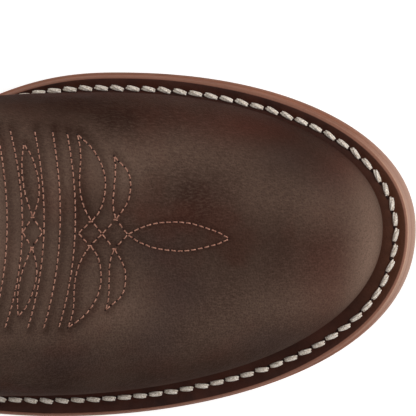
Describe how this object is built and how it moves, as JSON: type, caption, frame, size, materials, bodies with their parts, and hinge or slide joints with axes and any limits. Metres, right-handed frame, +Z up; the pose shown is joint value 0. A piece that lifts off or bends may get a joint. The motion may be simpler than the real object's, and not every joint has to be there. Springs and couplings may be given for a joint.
{
  "type": "western boot",
  "caption": "Right western boot: hollow pull-on upper with a broad round stitched toe, welted leather sole, stacked heel and two pull straps.",
  "frame": {"origin": "on the floor, under the middle of the boot's bounding box", "axes": "+X towards the toe, +Y towards the medial (inner) side of this right boot, +Z up along the shaft"},
  "size_m": [0.305, 0.111, 0.3491],
  "materials": {
    "brown_leather": "oiled, satin",
    "welt_leather": "matt",
    "sole_leather": "burnished edge",
    "heel_leather": "burnished edge",
    "top_rubber": "matt",
    "insole_leather": "matt"
  },
  "bodies": {
    "root": {"outsole": "sole_leather", "welt": "welt_leather", "insole": "insole_leather", "top_lift": "top_rubber", "heel_lift_1": "heel_leather", "heel_lift_2": "heel_leather", "heel_lift_3": "heel_leather", "heel_lift_4": "heel_leather", "upper": "brown_leather", "vamp": "brown_leather", "counter": "brown_leather", "medial_piping": "brown_leather", "lateral_piping": "brown_leather", "collar_binding": "brown_leather", "medial_strap": "brown_leather", "lateral_strap": "brown_leather"}
  },
  "joints": []
}
